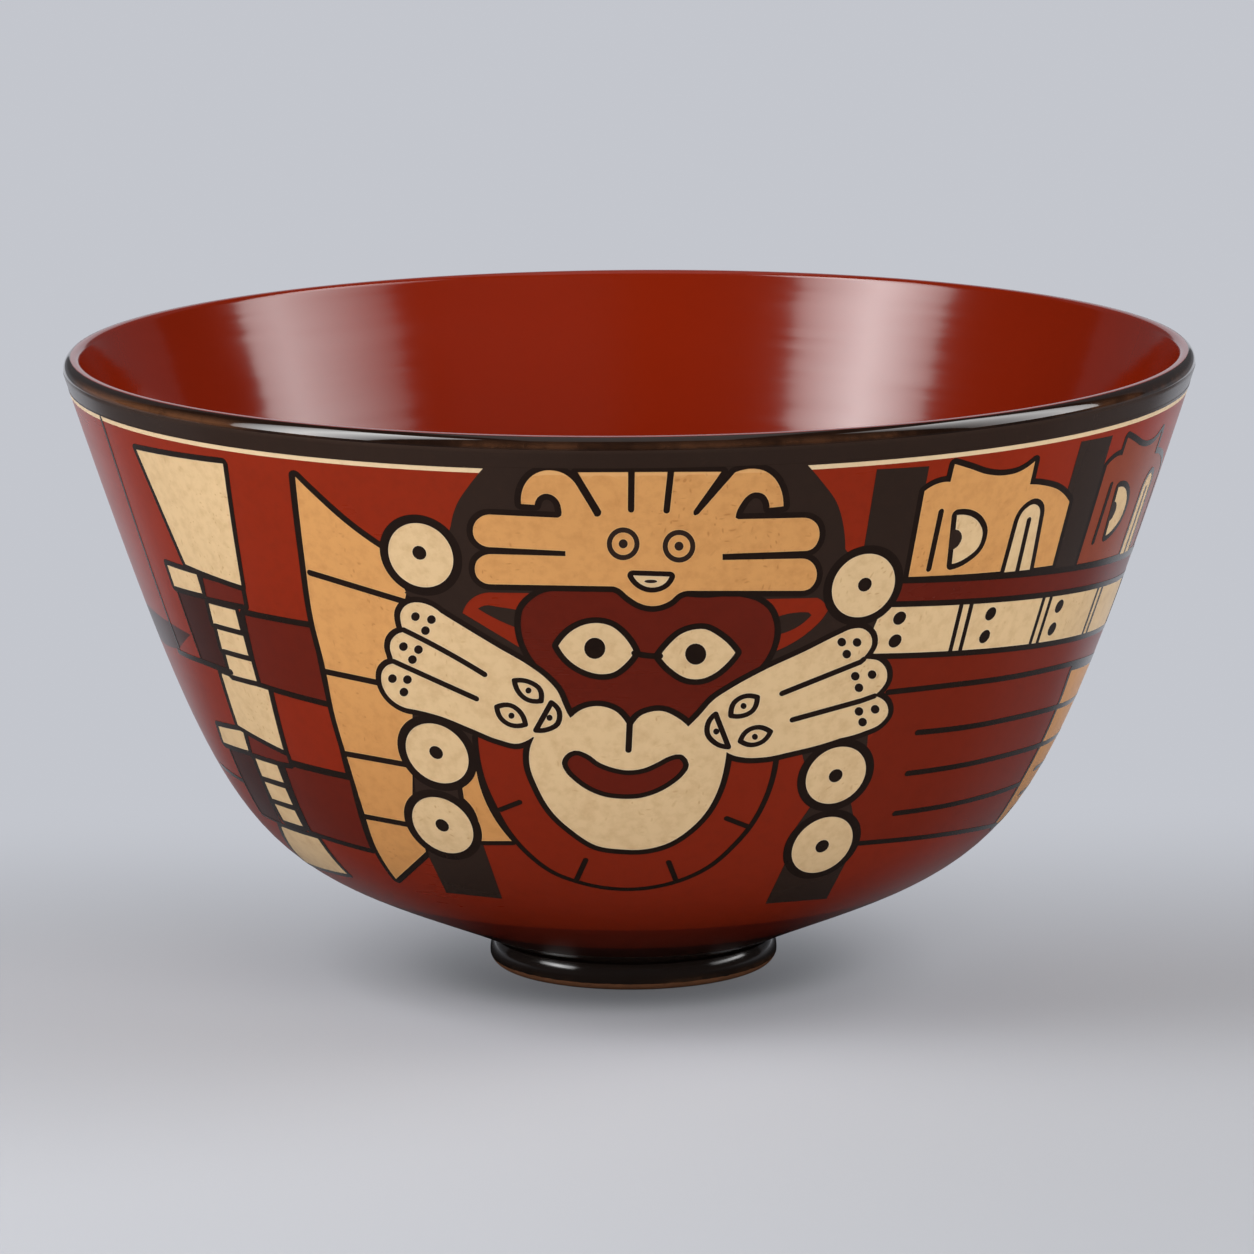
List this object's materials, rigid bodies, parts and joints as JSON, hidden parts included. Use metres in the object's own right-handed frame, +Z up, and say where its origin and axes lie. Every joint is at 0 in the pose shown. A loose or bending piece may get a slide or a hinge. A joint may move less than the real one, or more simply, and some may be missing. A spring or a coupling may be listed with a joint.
{
  "type": "footed cup",
  "caption": "Footed earthenware cup with a flared bowl, rolled lip and low foot ring, slip-painted all round with a traditional masked figure, for drinking and serving.",
  "frame": {"origin": "on the table, under the middle of the foot ring", "axes": "+Z up the turning axis, the face of the main painted figure looks along -Y"},
  "size_m": [0.17, 0.17, 0.095],
  "materials": {
    "red_slip": "satin",
    "black_slip": "satin",
    "foot_slip": "satin",
    "inner_slip": "satin",
    "maroon_slip": "satin",
    "tan_slip": "satin",
    "cream_slip": "satin",
    "bare_clay": "matte"
  },
  "bodies": {
    "root": {"bowl_body": "red_slip", "rim_coil": "black_slip", "foot_ring": "foot_slip"}
  },
  "joints": []
}
